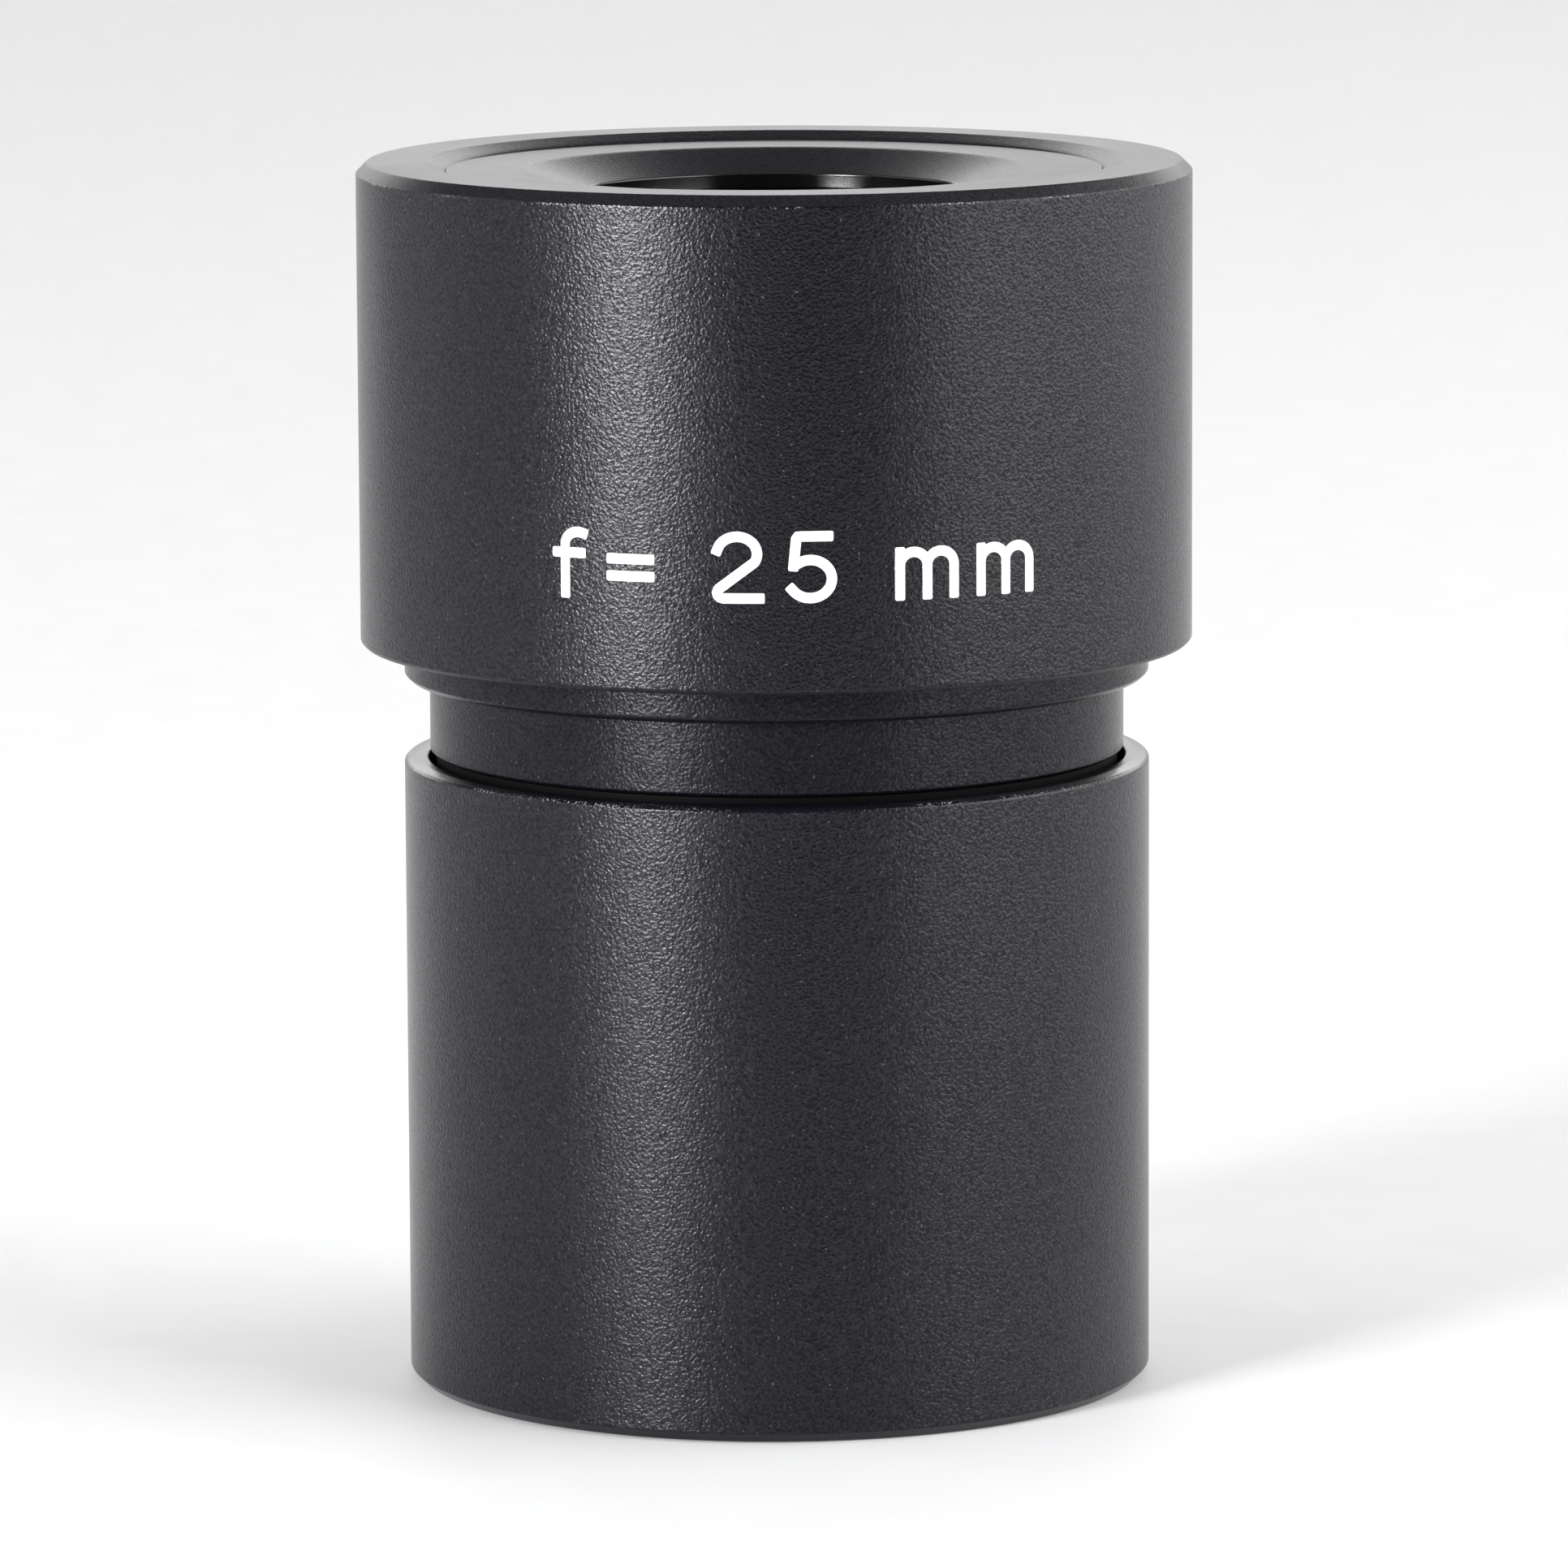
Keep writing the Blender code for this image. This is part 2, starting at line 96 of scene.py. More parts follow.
# Marking on the head: cap height, stroke and place of its lower edge. The gaps are in cap heights.
MARK_HEIGHT = 2.85 * MM
MARK_STROKE = 0.41 * MM
MARK_BOTTOM = 34.0 * MM
MARK_PROUD = 0.012 * MM
MARK_SUNK = 0.03 * MM
MARK_STEP = 0.12 * MM
MARK_CORNER = 0.08 * MM
MARK_GAP = 0.42
MARK_SPACE = 0.52
MARK_MIDDLE = math.radians(2.8)

# Camera, a little above the object's middle and looking slightly down.
CAMERA_DISTANCE = 0.3985
CAMERA_HEIGHT = 0.08415
CAMERA_PITCH = 0.14906
CAMERA_YAW = 0.00071
CAMERA_ROLL = 0.0049
CAMERA_LENS = 225.49
CAMERA_SENSOR = 36.0

# Floor that curves up into a wall far behind.
FLOOR_HALF = 3.0
FLOOR_BEND = 1.5
WALL_TOP = 4.0
FLOOR_DROP = 0.03 * MM

# Softboxes that stand round the object: azimuth in degrees from the camera's side towards +X,
# distance, width, heights of the lower and upper edges, and radiance.
PANELS = {
    "left_strip": (-38, 0.75, 0.20, 0.0, 0.13, 27.5),
    "near_strip_low": (-42, 0.42, 0.12, 0.0, 0.09, 6.0),
    "near_strip": (-42, 0.42, 0.12, 0.09, 0.20, 50.0),
    "left_panel": (-95, 0.9, 0.9, 0.0, 0.9, 1.35),
    "right_front": (50, 0.9, 0.28, 0.0, 0.9, 6.0),
    "right_panel": (72, 0.9, 0.40, 0.0, 0.9, 5.2),
    "right_side": (100, 0.9, 0.50, 0.0, 0.9, 3.6),
    "right_back": (128, 0.9, 0.40, 0.0, 0.9, 1.2),
    "back_low": (180, 1.6, 3.2, 0.0, 0.35, 0.9),
    "back_high": (180, 1.6, 3.2, 0.35, 0.85, 3.2),
}


# ---------------------------------------------------------------- outlines read from the frame


def cad_section(node):
    """Outline of a CAD node in the half-plane x = 0, y >= 0, as (radius, z), outer side upwards.

    It is a closed loop, or it runs from the axis to the axis on a solid that has no bore.
    """
    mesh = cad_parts[node].data
    links = {}
    for edge in mesh.edges:
        ends = [mesh.vertices[i].co for i in edge.vertices]
        if any(abs(p.x) > TOUCH or p.y < -TOUCH for p in ends):
            continue
        a, b = [(round(p.y, 8), round(p.z, 8)) for p in ends]
        if a != b:
            links.setdefault(a, set()).add(b)
            links.setdefault(b, set()).add(a)
    ends = sorted((p for p in links if len(links[p]) == 1), key=lambda p: p[1])
    here = ends[0] if ends else min(links)
    outline = [here]
    before = None
    while True:
        onward = [p for p in sorted(links[here]) if p != before]
        if not onward or onward[0] == outline[0]:
            break
        before = here
        here = onward[0]
        outline.append(here)
    if not ends and signed_area(outline) < 0:
        outline.reverse()
    return outline


def signed_area(outline):
    """Area inside a closed outline, positive when it runs counterclockwise."""
    pairs = zip(outline, outline[1:] + outline[:1])
    return sum(a[0] * b[1] - b[0] * a[1] for a, b in pairs) / 2


def away_from_thread(outline, thread):
    """The outline without its threaded stretch.

    It runs from the thread's top end round to its bottom end, or the other way round in a bore.
    """
    first, last = thread["top"], thread["bottom"]
    if thread["side"] < 0:
        first, last = last, first

    def nearest(z):
        return min(
            range(len(outline)),
            key=lambda k: math.hypot(outline[k][0] - thread["root"], outline[k][1] - z),
        )

    start, stop = nearest(first), nearest(last)
    if stop < start:
        stop += len(outline)
    return [outline[k % len(outline)] for k in range(start, stop + 1)]


def softened(outline, closed=True, radius=EDGE_RADIUS, own_radius=None):
    """Round each sharp corner, and put a point beside each round so that the flats stay flat.

    own_radius maps the index of a corner to a radius of its own.
    """
    points = []
    count = len(outline)
    for k, corner in enumerate(outline):
        if not closed and k in (0, count - 1):
            points.append(corner)
            continue
        here = Vector(corner)
        back = Vector(outline[k - 1]) - here
        on = Vector(outline[(k + 1) % count]) - here
        if math.pi - back.angle(on) < CORNER_TURN:
            points.append(corner)
            continue
        asked = (own_radius or {}).get(k, radius)
        cut = min(asked, 0.4 * back.length, 0.4 * on.length)
        start = here + back.normalized() * cut
        stop = here + on.normalized() * cut
        points.append(tuple(here + back.normalized() * min(2 * cut, 0.48 * back.length)))
        for step in range(EDGE_STEPS + 1):
            t = step / EDGE_STEPS
            points.append(tuple(start * (1 - t) ** 2 + here * 2 * t * (1 - t) + stop * t**2))
        points.append(tuple(here + on.normalized() * min(2 * cut, 0.48 * on.length)))
    return points


# ---------------------------------------------------------------- meshes


def circle(bm, radius, z):
    """A ring of points round the axis; on the axis itself they are one point."""
    if radius < TOUCH:
        return [bm.verts.new((0, 0, z))] * SEGMENTS
    verts = []
    for i in range(SEGMENTS):
        angle = 2 * math.pi * i / SEGMENTS
        verts.append(bm.verts.new((radius * math.cos(angle), radius * math.sin(angle), z)))
    return verts


def skin(bm, rings):
    """Join each ring of points to the next one with faces."""
    for low, high in zip(rings, rings[1:]):
        for i in range(SEGMENTS):
            j = (i + 1) % SEGMENTS
            corners = list(dict.fromkeys((low[i], low[j], high[j], high[i])))
            if len(corners) > 2:
                bm.faces.new(corners)


def shade(mesh):
    """Smooth shading that breaks at sharp edges."""
    mesh.shade_smooth()
    mesh.set_sharp_from_angle(angle=SHARP_ANGLE)


def to_object(name, bm, materials):
    """Turn the working mesh into an object of the scene."""
    bmesh.ops.remove_doubles(bm, verts=bm.verts, dist=MERGE * 0.5)
    bmesh.ops.recalc_face_normals(bm, faces=bm.faces)
    mesh = bpy.data.meshes.new(name)
    bm.to_mesh(mesh)
    bm.free()
    shade(mesh)
    for material in materials:
        mesh.materials.append(material)
    piece = bpy.data.objects.new(name, mesh)
    bpy.context.scene.collection.objects.link(piece)
    return piece


def turned(name, outline, materials, closed=True):
    """A body of revolution about the optical axis."""
    bm = bmesh.new()
    rings = [circle(bm, radius, z) for radius, z in outline]
    if closed:
        rings.append(rings[0])
    skin(bm, rings)
    return to_object(name, bm, materials)


def thread_rows(thread):
    """Start height and relative tooth height of each row of points that follows the helix."""
    half = THREAD_CREST / 2
    foot = half + THREAD_FLANK
    soft = THREAD_ROUND
    shape = (
        (-foot - soft, 0.0),
        (-foot + soft, soft / THREAD_FLANK),
        (-half - soft, 1 - soft / THREAD_FLANK),
        (-half + soft, 1.0),
        (half - soft, 1.0),
        (half + soft, 1 - soft / THREAD_FLANK),
        (foot - soft, soft / THREAD_FLANK),
        (foot + soft, 0.0),
    )
    phase = 0 if thread["side"] > 0 else THREAD_PITCH / 2
    first = math.floor((thread["bottom"] - phase - THREAD_LEAD) / THREAD_PITCH) - 1
    last = math.ceil((thread["top"] - phase) / THREAD_PITCH) + 1
    rows = []
    for k in range(first, last + 1):
        rows += [(k * THREAD_PITCH + phase + offset, height) for offset, height in shape]
    return rows


def add_thread(bm, thread):
    """Helical thread that fades out towards both of its ends."""
    bottom, top = thread["bottom"], thread["top"]
    rows = thread_rows(thread)
    columns = []
    for i in range(SEGMENTS + 1):
        angle = 2 * math.pi * i / SEGMENTS
        verts = []
        for start_z, height in rows:
            z = min(max(start_z + THREAD_LEAD * i / SEGMENTS, bottom), top)
            fade = min(1.0, (z - bottom) / THREAD_FADE, (top - z) / THREAD_FADE)
            radius = thread["root"] + thread["side"] * THREAD_DEPTH * height * fade
            verts.append(bm.verts.new((radius * math.cos(angle), radius * math.sin(angle), z)))
        columns.append(verts)
    for left, right in zip(columns, columns[1:]):
        for k in range(len(rows) - 1):
            bm.faces.new((left[k], right[k], right[k + 1], left[k + 1]))


def turned_with_thread(name, node, thread, materials):
    """A turned CAD node whose threaded stretch is replaced with a real helix."""
    outline = softened(away_from_thread(cad_section(node), thread), closed=False)
    bm = bmesh.new()
    skin(bm, [circle(bm, radius, z) for radius, z in outline])
    add_thread(bm, thread)
    return to_object(name, bm, materials)


def cut_slots(piece, node):
    """Two opposite spanner slots, as wide and deep as the CAD ring has them."""
    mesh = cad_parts[node].data
    low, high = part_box(node)
    inner = [v.co for v in mesh.vertices if abs(v.co.y) < 1.0 * MM]
    heights = sorted({round(v.z, 6) for v in inner})
    slot_z = [z for z in heights if low.z + TOUCH < z < high.z - TOUCH]
    if not slot_z:
        return
    face = low.z if slot_z[0] - low.z < high.z - slot_z[0] else high.z
    depth = abs(slot_z[0] - face)
    width = 2 * max(abs(v.y) for v in inner if abs(v.z - slot_z[0]) < MERGE)
    bm = bmesh.new()
    bmesh.ops.create_cube(bm, size=1)
    bmesh.ops.scale(bm, vec=(3 * high.x, width, 2 * depth), verts=bm.verts)
    bmesh.ops.translate(bm, vec=(0, 0, face), verts=bm.verts)
    cutter = to_object(piece.name + "_cutter", bm, [])
    apply_boolean(piece, cutter, "DIFFERENCE")


def apply_boolean(piece, other, operation):
    """Apply an exact Boolean to the piece's own mesh, and remove the other object."""
    change = piece.modifiers.new(operation.lower(), "BOOLEAN")
    change.operation = operation
    change.solver = "EXACT"
    change.object = other
    graph = bpy.context.evaluated_depsgraph_get()
    mesh = bpy.data.meshes.new_from_object(piece.evaluated_get(graph))
    piece.modifiers.clear()
    piece.data = mesh
    bpy.data.objects.remove(other, do_unlink=True)
    shade(mesh)


# ---------------------------------------------------------------- materials


class Shader:
    """Small helper that adds and links the nodes of one material."""

    def __init__(self, name):
        self.material = bpy.data.materials.new(name)
        self.material.use_nodes = True
        self.tree = self.material.node_tree
        self.principled = self.tree.nodes["Principled BSDF"]
        self.place = self.add("ShaderNodeTexCoord").outputs["Object"]

    def add(self, kind, **values):
        """A new node with these properties set."""
        node = self.tree.nodes.new(kind)
        for key, value in values.items():
            setattr(node, key, value)
        return node

    def link(self, output, socket):
        self.tree.links.new(output, socket)

    def noise(self, size, detail=2.0, roughness=0.5):
        """Noise from 0 to 1 whose features are about size metres across."""
        node = self.add("ShaderNodeTexNoise")
        node.inputs["Scale"].default_value = 1 / size
        node.inputs["Detail"].default_value = detail
        node.inputs["Roughness"].default_value = roughness
        self.link(self.place, node.inputs["Vector"])
        return node.outputs["Fac"]

    def maths(self, operation, a, b=None, c=None):
        """A sum of numbers and sockets."""
        node = self.add("ShaderNodeMath", operation=operation)
        for socket, value in zip(node.inputs, (a, b, c)):
            if isinstance(value, (int, float)):
                socket.default_value = value
            elif value is not None:
                self.link(value, socket)
        return node.outputs["Value"]

    def spread(self, value, low, high, to_low=0.0, to_high=1.0):
        """Map low..high to to_low..to_high, and hold the ends beyond them."""
        node = self.add("ShaderNodeMapRange")
        self.link(value, node.inputs["Value"])
        node.inputs["From Min"].default_value = low
        node.inputs["From Max"].default_value = high
        node.inputs["To Min"].default_value = to_low
        node.inputs["To Max"].default_value = to_high
        return node.outputs["Result"]

    def blend(self, factor, dark, light):
        """Mix two colours; each may be a colour or a socket."""
        node = self.add("ShaderNodeMix", data_type="RGBA")
        self.link(factor, node.inputs["Factor"])
        for name, value in (("A", dark), ("B", light)):
            socket = [s for s in node.inputs if s.name == name and s.type == "RGBA"][0]
            if isinstance(value, tuple):
                socket.default_value = (*value, 1)
            else:
                self.link(value, socket)
        return [s for s in node.outputs if s.type == "RGBA"][0]

    def axis_parts(self):
        """Height along the optical axis, and distance from it."""
        split = self.add("ShaderNodeSeparateXYZ")
        self.link(self.place, split.inputs["Vector"])
        x, y, z = split.outputs
        squares = self.maths("ADD", self.maths("POWER", x, 2), self.maths("POWER", y, 2))
        return z, self.maths("SQRT", squares)

    def turning_lines(self, pitch):
        """Lines that a lathe tool leaves: rings on flats, and circles round cylinders."""
        z, radius = self.axis_parts()
        node = self.add("ShaderNodeTexNoise", noise_dimensions="1D")
        node.inputs["Scale"].default_value = 1 / pitch
        node.inputs["Detail"].default_value = 2
        self.link(self.maths("ADD", z, radius), node.inputs["W"])
        return node.outputs["Fac"]

    def bump(self, height, depth):
        """Relief that is depth metres deep."""
        node = self.add("ShaderNodeBump")
        node.inputs["Strength"].default_value = 1.0
        node.inputs["Distance"].default_value = depth
        self.link(height, node.inputs["Height"])
        self.link(node.outputs["Normal"], self.principled.inputs["Normal"])

    def set(self, **values):
        """Set the shader's inputs to numbers, colours or sockets, by their names."""
        for name, value in values.items():
            socket = self.principled.inputs[name.replace("_", " ").title().replace("Ior", "IOR")]
            if isinstance(value, (int, float)):
                socket.default_value = value
            elif isinstance(value, tuple):
                socket.default_value = (*value, 1)
            else:
                self.link(value, socket)


def paint(name, grain, worn_edge=None, gloss=0.27, painted_glints=0.5, roughness=0.18, patches=0.4):
    """Charcoal paint with a fine orange-peel grain; grain is its depth in metres.

    worn_edge is a height where the paint is rubbed thin in small specks. gloss is the mean strength
    of the reflection, and patches is how far the grain varies it. painted_glints is how strongly
    light specks show in the colour; they are painted glints that stand in for the grain's sparkle.
    """
    s = Shader(name)
    coarse = s.noise(0.125 * MM, detail=1)
    fine = s.noise(0.04 * MM, detail=1)
    s.bump(s.maths("MULTIPLY_ADD", fine, 0.10, coarse), grain)
    clouds = s.spread(s.noise(9 * MM, detail=3), 0.3, 0.7, roughness, roughness + 0.05)
    colour = s.blend(s.spread(coarse, 0.3, 0.7), *CHARCOAL)
    # Painted glints: light specks in the paint's colour, for the sparkle of its grain.
    painted_glint_specks = s.spread(s.noise(0.11 * MM, detail=0), 0.80, 0.84)
    colour = s.blend(s.maths("MULTIPLY", painted_glint_specks, painted_glints), colour, PAINTED_GLINT_COLOUR)
    if worn_edge is not None:
        z, _ = s.axis_parts()
        away = s.maths("ABSOLUTE", s.maths("SUBTRACT", z, worn_edge))
        near = s.spread(away, 0.01 * MM, 0.08 * MM, 1, 0)
        patchy = s.spread(s.noise(3.5 * MM, detail=2), 0.48, 0.62)
        specks = s.spread(s.noise(0.09 * MM, detail=1.5), 0.54, 0.62)
        rub = s.maths("MULTIPLY", s.maths("MULTIPLY", near, specks), patchy)
        colour = s.blend(s.maths("MULTIPLY", rub, 0.8), colour, BARE_METAL)
    shine = s.spread(coarse, 0.32, 0.68, gloss * (1 - patches), gloss * (1 + patches))
    s.set(base_color=colour, roughness=s.maths("ADD", clouds, s.maths("MULTIPLY", fine, 0.05)))
    s.set(specular_ior_level=shine, specular_tint=PAINT_TINT)
    return s.material


def anodised():
    """Black anodised aluminium with the lathe's lines left in it."""
    s = Shader("black_anodised")
    lines = s.turning_lines(0.05 * MM)
    grain = s.noise(0.05 * MM, detail=2)
    s.bump(s.maths("MULTIPLY_ADD", grain, 0.2, lines), 0.004 * MM)
    s.set(base_color=s.blend(s.spread(lines, 0.35, 0.65), (0.008, 0.008, 0.009), (0.0136, 0.0136, 0.0153)))
    s.set(roughness=s.spread(grain, 0.3, 0.7, 0.29, 0.42), metallic=0.35)
    return s.material


def blackened_brass():
    """Turned brass, blackened unevenly so that the metal shows through."""
    s = Shader("blackened_brass")
    lines = s.turning_lines(0.06 * MM)
    stain = s.noise(1.2 * MM, detail=4, roughness=0.6)
    s.bump(lines, 0.004 * MM)
    s.set(base_color=s.blend(s.spread(stain, 0.5, 0.75), (0.022, 0.019, 0.015), (0.20, 0.135, 0.055)))
    s.set(roughness=s.spread(stain, 0.3, 0.7, 0.32, 0.5), metallic=0.8)
    return s.material


def soft_black(name, colour, roughness, gloss=0.5):
    """Black with a very fine even grain, such as rubber, nylon or a dull coating."""
    s = Shader(name)
    grain = s.noise(0.04 * MM, detail=2)
    s.bump(grain, 0.003 * MM)
    s.set(base_color=s.blend(grain, colour, tuple(c * 1.6 for c in colour)))
    s.set(roughness=s.spread(grain, 0.3, 0.7, roughness - 0.06, roughness + 0.06))
    s.set(specular_ior_level=gloss)
    return s.material


def coated_glass():
    """Polished lens with a green antireflection coating and a trace of dust."""
    s = Shader("coated_glass")
    dust = s.spread(s.noise(0.25 * MM, detail=2), 0.70, 0.80)
    s.set(base_color=(0.985, 0.995, 0.985), roughness=s.maths("MULTIPLY", dust, 0.05))
    s.set(transmission_weight=1.0, ior=1.52)
    s.set(specular_tint=(0.55, 0.95, 0.72))
    return s.material


def white_marking():
    """White filling paint, a little thin in places."""
    s = Shader("white_marking")
    grain = s.noise(0.12 * MM, detail=2)
    s.bump(grain, 0.006 * MM)
    thin = s.spread(s.noise(0.2 * MM, detail=3, roughness=0.65), 0.66, 0.76)
    s.set(base_color=s.blend(s.maths("MULTIPLY", thin, 0.35), (0.66, 0.66, 0.65), (0.35, 0.35, 0.35)))
    s.set(roughness=s.spread(grain, 0.3, 0.7, 0.5, 0.62))
    return s.material


# ---------------------------------------------------------------- pieces


def place(piece, body, slot, *nodes):
    """Hang the piece on the empty of the body it rides on, and hide the CAD nodes it replaces; slot is not
    used.
    """
    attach(piece, body)
    if nodes:
        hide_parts(*nodes)


def axis_distance(face):
    return math.hypot(face.center.x, face.center.y)


def smooth_off_walls(piece, index=1):
    """Give the material at index to each face that isn't part of an upright wall."""
    for face in piece.data.polygons:
        if abs(face.normal.z) > 0.5:
            face.material_index = index


def build_head_shell(looks):
    section = cad_section("head_shell")
    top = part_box("head_shell")[1].z
    soft = {}
    for k, (_, z) in enumerate(section):
        if TOUCH < top - z < RECESS_DEPTH_MAX:
            soft[k] = RECESS_SOFTNESS
    outline = softened(section, own_radius=soft)
    shell = turned("head_shell_skin", outline, [looks["paint"], looks["top_paint"]])
    smooth_off_walls(shell)
    place(shell, "head", "painted_black", "head_shell")


def build_eye_cap(looks):
    section = cad_section("eye_cap")
    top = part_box("eye_cap")[1].z
    top_radii = [radius for radius, z in section if abs(z - top) < TOUCH]
    dish_r, outer_r = min(top_radii), max(top_radii)
    soft = {}
    joined = []
    for k, (radius, z) in enumerate(section):
        if abs(radius - dish_r) < TOUCH and abs(z - top) < TOUCH:
            soft[k] = DISH_SOFTNESS
        if abs(radius - outer_r) < TOUCH:
            soft[k] = CAP_EDGE_SOFTNESS
            radius += CAP_OVERLAP
        joined.append((radius, z))
    outline = softened(joined, own_radius=soft)
    cap = turned("eye_cap_skin", outline, [looks["top_paint"], looks["bore_black"]])
    hole = min(radius for radius, _ in section)
    for face in cap.data.polygons:
        if axis_distance(face) < hole + EDGE_RADIUS:
            face.material_index = 1
    place(cap, "head", "painted_black", "eye_cap")


def build_neck_ring(looks):
    outline = softened(cad_section("neck_ring"))
    # The neck's paint reflects less than the head's: painted shade for the shadow under the head's overhang.
    neck = turned("neck_ring_skin", outline, [looks["neck_paint_shaded"], looks["smooth_paint"]])
    smooth_off_walls(neck)
    place(neck, "head", "painted_black", "neck_ring")


def build_barrel(looks):
    materials = [looks["barrel_paint"], looks["anodised"], looks["barrel_edge_paint"]]
    barrel = turned_with_thread("lower_barrel_skin", "lower_barrel", FEMALE_THREAD, materials)
    smooth_off_walls(barrel, 2)
    bore = FEMALE_THREAD["root"] + BORE_WALL
    for face in barrel.data.polygons:
        if axis_distance(face) < bore:
            face.material_index = 1
    place(barrel, "barrel", "painted_black", "lower_barrel")


def build_sleeve(looks):
    """Focusing sleeve; the land above its thread is near black and barely reflects, as painted shade for the
    gap under the waist.
    """
    materials = [looks["anodised"], looks["land_painted_shade"]]
    sleeve = turned_with_thread("focus_sleeve_skin", "focus_sleeve", MALE_THREAD, materials)
    land_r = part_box("focus_sleeve")[1].x
    # The land's faces take the near-black painted shade.
    for face in sleeve.data.polygons:
        if axis_distance(face) > land_r - LAND_SKIN:
            face.material_index = 1
    place(sleeve, "head", "anodised_black", "focus_sleeve")


def build_inner_pieces(looks):
    """Cell, spacers, rings, stop and seals."""
    plain = (
        ("lens_cell", "head", "anodised_black", "anodised"),
        ("lens_spacer", "head", "anodised_black", "anodised"),
        ("travel_stop_ring", "head", "anodised_black", "anodised"),
        ("field_stop_tube", "barrel", "anodised_black", "anodised"),
        ("field_stop", "barrel", "anodised_black", "anodised"),
        ("parfocal_shim", "head", "blackened_brass", "brass"),
        ("eye_lens_seat_ring", "head", "black_nylon", "nylon"),
        ("damping_ring", "damping_ring", "damping_rubber", "rubber"),
    )
    for node, body, slot, look in plain:
        section = cad_section(node)
        thin = min(math.dist(a, b) for a, b in zip(section, section[1:] + section[:1]))
        outline = softened(section, radius=min(EDGE_RADIUS, 0.3 * thin))
        ring = turned(node + "_skin", outline, [looks[look]])
        place(ring, body, slot, node)
    slotted = (
        ("field_stop_retainer", "barrel", "anodised_black", "anodised"),
        ("lens_retaining_ring", "head", "blackened_brass", "brass"),
        ("cell_lock_ring", "head", "blackened_brass", "brass"),
    )
    for node, body, slot, look in slotted:
        ring = turned(node + "_skin", softened(cad_section(node)), [looks[look]])
        cut_slots(ring, node)
        place(ring, body, slot, node)


def lens_face(node, upper):
    """Vertex height, rim height and curve radius of a lens's upper or lower face."""
    section = cad_section(node)
    vertex = section[-1][1] if upper else section[0][1]
    rim_r = max(radius for radius, _ in section)
    rims = [z for radius, z in section if abs(radius - rim_r) < TOUCH]
    rim_z = max(rims) if upper else min(rims)
    sag = abs(vertex - rim_z)
    return rim_r, vertex, rim_z, (rim_r**2 + sag**2) / (2 * sag)


def build_doublet(name, upper_node, lower_node, slot, look):
    """Two cemented glasses as one polished solid between their outer faces."""
    rim_r, low_vertex, low_rim, low_curve = lens_face(lower_node, False)
    _, top_vertex, top_rim, top_curve = lens_face(upper_node, True)
    edge = rim_r - LENS_BEVEL
    low_side = 1 if low_rim > low_vertex else -1
    top_side = 1 if top_rim > top_vertex else -1
    outline = []
    for k in range(LENS_STEPS + 1):
        radius = edge * k / LENS_STEPS
        outline.append((radius, low_vertex + low_side * (low_curve - math.sqrt(low_curve**2 - radius**2))))
    outline.append((rim_r, outline[-1][1] + LENS_BEVEL))
    last = []
    for k in range(LENS_STEPS, -1, -1):
        radius = edge * k / LENS_STEPS
        last.append((radius, top_vertex + top_side * (top_curve - math.sqrt(top_curve**2 - radius**2))))
    outline.append((rim_r, last[0][1] - LENS_BEVEL))
    outline += last
    doublet = turned(name, outline, [look], closed=False)
    place(doublet, "head", slot, upper_node, lower_node)


def arc(centre, radius_x, radius_y, start, stop, steps=14):
    """Points of an elliptical arc, angles in degrees."""
    points = []
    for k in range(steps + 1):
        angle = math.radians(start + (stop - start) * k / steps)
        points.append((centre[0] + radius_x * math.cos(angle), centre[1] + radius_y * math.sin(angle)))
    return points


# Each glyph gives its width and its strokes, in cap heights from its lower left corner.


def glyph_f():
    stem = arc((0.33, 0.80), 0.20, 0.20, 65, 180) + [(0.13, 0.0)]
    return 0.42, [stem, [(0.0, 0.66), (0.38, 0.66)]]


def glyph_equals():
    return 0.56, [[(0.0, 0.32), (0.56, 0.32)], [(0.0, 0.60), (0.56, 0.60)]]


def glyph_two():
    top = arc((0.29, 0.72), 0.28, 0.28, 168, -28)
    turn = arc((0.10, 0.09), 0.09, 0.09, 140, 270, 6)
    return 0.60, [top + turn + [(0.60, 0.0)]]


def glyph_five():
    stem = [(0.53, 1.0), (0.09, 1.0), (0.05, 0.52)]
    bowl = arc((0.28, 0.31), 0.30, 0.31, 128, -148, 20)
    return 0.60, [stem, bowl]


def glyph_m():
    arch_one = [(0.40, 0.0)] + arc((0.20, 0.48), 0.20, 0.22, 0, 180)
    arch_two = [(0.80, 0.0)] + arc((0.60, 0.48), 0.20, 0.22, 0, 180)
    return 0.80, [[(0.0, 0.0), (0.0, 0.70)], arch_one, arch_two]


def evenly(points, step):
    """The same line with points at even, short steps."""
    lengths = [math.dist(a, b) for a, b in zip(points, points[1:])]
    total = sum(lengths)
    count = max(2, round(total / step))
    out = []
    for k in range(count + 1):
        along = total * k / count
        i = 0
        while i < len(lengths) - 1 and along > lengths[i]:
            along -= lengths[i]
            i += 1
        t = min(1.0, along / lengths[i])
        a, b = points[i], points[i + 1]
        out.append((a[0] + (b[0] - a[0]) * t, a[1] + (b[1] - a[1]) * t))
    return out


